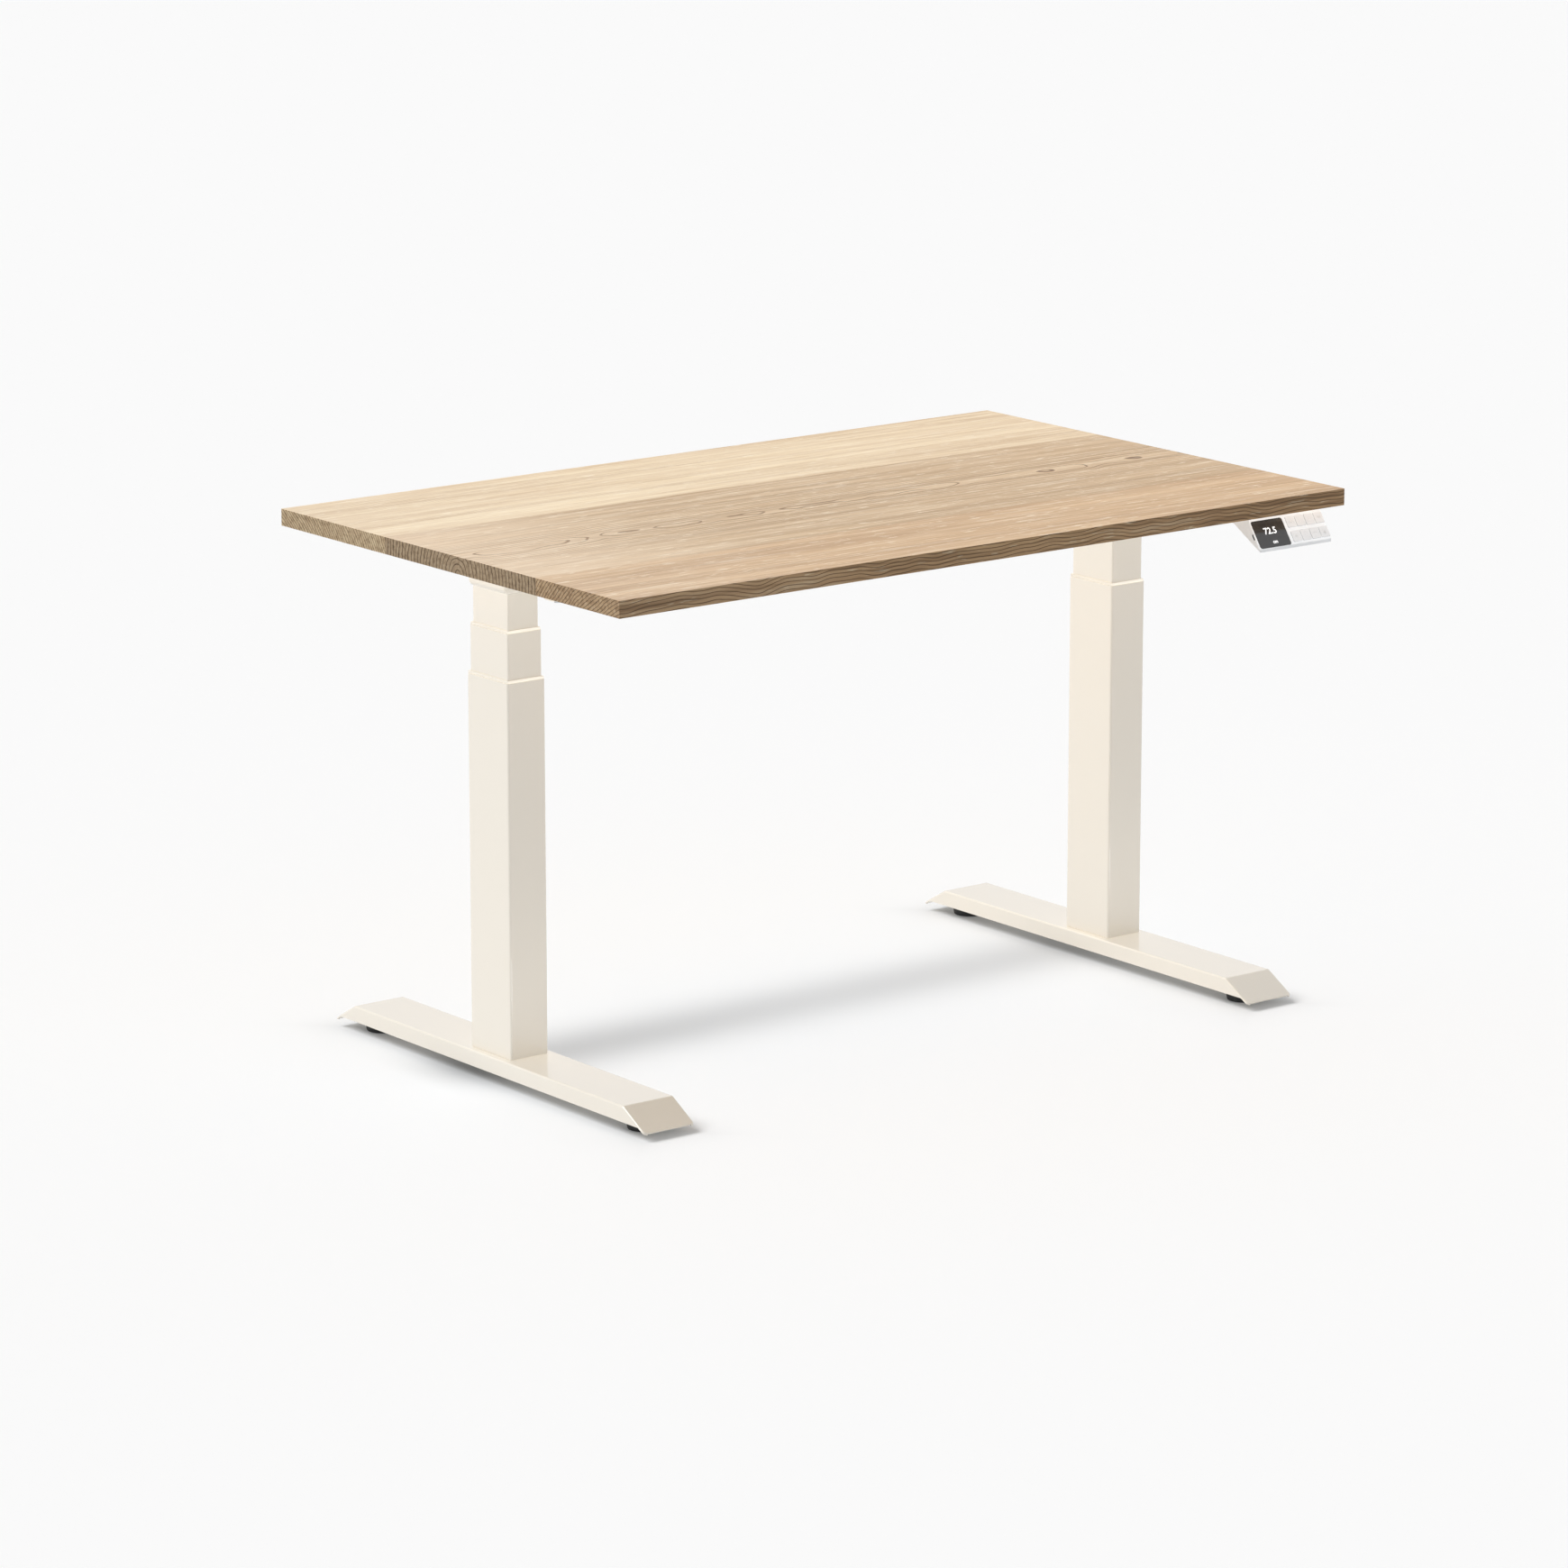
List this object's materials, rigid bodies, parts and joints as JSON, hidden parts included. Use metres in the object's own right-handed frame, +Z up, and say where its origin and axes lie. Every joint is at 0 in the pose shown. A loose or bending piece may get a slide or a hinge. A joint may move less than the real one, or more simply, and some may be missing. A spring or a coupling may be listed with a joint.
{
  "type": "height adjustable standing desk",
  "caption": "Sit-stand desk: solid wood top on two motor-driven, three-stage telescopic columns with folded steel feet, and a keyed handset under the front edge.",
  "frame": {"origin": "on the floor under the middle of the desktop", "axes": "+X along the desktop's long side, to the user's right; +Y away from the user, who sits on the -Y side; +Z up"},
  "size_m": [1.2, 0.75, 0.7074],
  "materials": {
    "wood_top": "oiled, satin",
    "frame_paint": "satin powder coat",
    "collar_plastic": "satin",
    "bare_steel": "machined, oiled",
    "zinc_steel": "zinc plated",
    "cast_alloy": "as cast",
    "motor_casing": "satin black paint",
    "glide_plastic": "moulded, matt",
    "box_plastic": "fine moulded texture",
    "case_white": "satin",
    "display_glass": "glossy",
    "key_plastic": "satin",
    "lead_sheath": "matt"
  },
  "bodies": {
    "base": {"foot_left": "frame_paint", "foot_right": "frame_paint", "outer_tube_left": "frame_paint", "outer_tube_right": "frame_paint", "base_plate_left": "zinc_steel", "base_plate_right": "zinc_steel", "lower_collar_left": "collar_plastic", "lower_collar_right": "collar_plastic", "lower_nut_post_left": "bare_steel", "lower_nut_post_right": "bare_steel"},
    "middle_left": {"middle_tube_left": "frame_paint", "middle_end_cap_left": "zinc_steel", "upper_collar_left": "collar_plastic", "nut_carrier_left": "bare_steel"},
    "middle_right": {"middle_tube_right": "frame_paint", "middle_end_cap_right": "zinc_steel", "upper_collar_right": "collar_plastic", "nut_carrier_right": "bare_steel"},
    "top": {"desktop": "wood_top", "control_box": "box_plastic", "mains_inlet": "box_plastic", "handset_case": "case_white", "handset_display": "display_glass", "handset_lead": "lead_sheath", "inner_tube_left": "frame_paint", "inner_tube_right": "frame_paint", "head_housing_left": "frame_paint", "head_housing_right": "frame_paint", "gearbox_left": "cast_alloy", "gearbox_right": "cast_alloy", "motor_left": "motor_casing", "motor_right": "motor_casing", "top_bracket_left": "frame_paint", "top_bracket_right": "frame_paint", "front_rail_left": "frame_paint", "front_rail_right": "frame_paint", "rear_rail_left": "frame_paint", "rear_rail_right": "frame_paint", "motor_lead_left": "lead_sheath", "motor_lead_right": "lead_sheath"},
    "lower_screw_left": {"lower_screw_left": "bare_steel"},
    "upper_screw_left": {"upper_screw_left": "bare_steel"},
    "drive_shaft_left": {"drive_shaft_left": "bare_steel"},
    "lower_screw_right": {"lower_screw_right": "bare_steel"},
    "upper_screw_right": {"upper_screw_right": "bare_steel"},
    "drive_shaft_right": {"drive_shaft_right": "bare_steel"},
    "glide_front_left": {"glide_front_left": "glide_plastic"},
    "glide_front_right": {"glide_front_right": "glide_plastic"},
    "glide_rear_left": {"glide_rear_left": "glide_plastic"},
    "glide_rear_right": {"glide_rear_right": "glide_plastic"},
    "key_up": {"key_up": "key_plastic"},
    "key_preset_1": {"key_preset_1": "key_plastic"},
    "key_preset_2": {"key_preset_2": "key_plastic"},
    "key_memory": {"key_memory": "key_plastic"},
    "key_down": {"key_down": "key_plastic"},
    "key_preset_3": {"key_preset_3": "key_plastic"},
    "key_preset_4": {"key_preset_4": "key_plastic"},
    "key_lock": {"key_lock": "key_plastic"}
  },
  "joints": [
    {"name": "lift_lower_left", "type": "slide", "parent": "base", "child": "middle_left", "axis": [0, 0, 1], "range_m": [-0.04, 0.285]},
    {"name": "lift_lower_right", "type": "slide", "parent": "base", "child": "middle_right", "axis": [0, 0, 1], "range_m": [-0.04, 0.285]},
    {"name": "lift_upper", "type": "slide", "parent": "middle_left", "child": "top", "axis": [0, 0, 1], "range_m": [-0.04, 0.285]},
    {"name": "lower_screw_left_turn", "type": "hinge", "parent": "middle_left", "child": "lower_screw_left", "pos_m": [-0.5062, -0.017, 0.3], "axis": [0, 0, 1], "continuous": true},
    {"name": "upper_screw_left_turn", "type": "hinge", "parent": "top", "child": "upper_screw_left", "pos_m": [-0.5062, 0.017, 0.3], "axis": [0, 0, 1], "continuous": true},
    {"name": "drive_shaft_left_turn", "type": "hinge", "parent": "top", "child": "drive_shaft_left", "pos_m": [-0.5062, -0.017, 0.3], "axis": [0, 0, 1], "continuous": true},
    {"name": "lower_screw_right_turn", "type": "hinge", "parent": "middle_right", "child": "lower_screw_right", "pos_m": [0.5062, 0.017, 0.3], "axis": [0, 0, 1], "continuous": true},
    {"name": "upper_screw_right_turn", "type": "hinge", "parent": "top", "child": "upper_screw_right", "pos_m": [0.5062, -0.017, 0.3], "axis": [0, 0, 1], "continuous": true},
    {"name": "drive_shaft_right_turn", "type": "hinge", "parent": "top", "child": "drive_shaft_right", "pos_m": [0.5062, 0.017, 0.3], "axis": [0, 0, 1], "continuous": true},
    {"name": "glide_front_left_level", "type": "slide", "parent": "base", "child": "glide_front_left", "axis": [0, 0, -1], "range_m": [0, 0.01]},
    {"name": "glide_front_right_level", "type": "slide", "parent": "base", "child": "glide_front_right", "axis": [0, 0, -1], "range_m": [0, 0.01]},
    {"name": "glide_rear_left_level", "type": "slide", "parent": "base", "child": "glide_rear_left", "axis": [0, 0, -1], "range_m": [0, 0.01]},
    {"name": "glide_rear_right_level", "type": "slide", "parent": "base", "child": "glide_rear_right", "axis": [0, 0, -1], "range_m": [0, 0.01]},
    {"name": "key_up_press", "type": "slide", "parent": "top", "child": "key_up", "axis": [0, 0.8192, -0.5736], "range_m": [0, 0.0005], "stiffness_N_per_m": 600, "springref_m": -0.0002},
    {"name": "key_preset_1_press", "type": "slide", "parent": "top", "child": "key_preset_1", "axis": [0, 0.8192, -0.5736], "range_m": [0, 0.0005], "stiffness_N_per_m": 600, "springref_m": -0.0002},
    {"name": "key_preset_2_press", "type": "slide", "parent": "top", "child": "key_preset_2", "axis": [0, 0.8192, -0.5736], "range_m": [0, 0.0005], "stiffness_N_per_m": 600, "springref_m": -0.0002},
    {"name": "key_memory_press", "type": "slide", "parent": "top", "child": "key_memory", "axis": [0, 0.8192, -0.5736], "range_m": [0, 0.0005], "stiffness_N_per_m": 600, "springref_m": -0.0002},
    {"name": "key_down_press", "type": "slide", "parent": "top", "child": "key_down", "axis": [0, 0.8192, -0.5736], "range_m": [0, 0.0005], "stiffness_N_per_m": 600, "springref_m": -0.0002},
    {"name": "key_preset_3_press", "type": "slide", "parent": "top", "child": "key_preset_3", "axis": [0, 0.8192, -0.5736], "range_m": [0, 0.0005], "stiffness_N_per_m": 600, "springref_m": -0.0002},
    {"name": "key_preset_4_press", "type": "slide", "parent": "top", "child": "key_preset_4", "axis": [0, 0.8192, -0.5736], "range_m": [0, 0.0005], "stiffness_N_per_m": 600, "springref_m": -0.0002},
    {"name": "key_lock_press", "type": "slide", "parent": "top", "child": "key_lock", "axis": [0, 0.8192, -0.5736], "range_m": [0, 0.0005], "stiffness_N_per_m": 600, "springref_m": -0.0002}
  ],
  "couplings": [
    {"joint": "lift_lower_right", "follows": "lift_lower_left", "ratio": 1},
    {"joint": "lift_upper", "follows": "lift_lower_left", "ratio": 1},
    {"joint": "lower_screw_left_turn", "follows": "lift_lower_left", "rad_per_m": 785.4},
    {"joint": "upper_screw_left_turn", "follows": "lift_lower_left", "rad_per_m": 785.4},
    {"joint": "drive_shaft_left_turn", "follows": "lift_lower_left", "rad_per_m": 785.4},
    {"joint": "lower_screw_right_turn", "follows": "lift_lower_left", "rad_per_m": 785.4},
    {"joint": "upper_screw_right_turn", "follows": "lift_lower_left", "rad_per_m": 785.4},
    {"joint": "drive_shaft_right_turn", "follows": "lift_lower_left", "rad_per_m": 785.4}
  ]
}
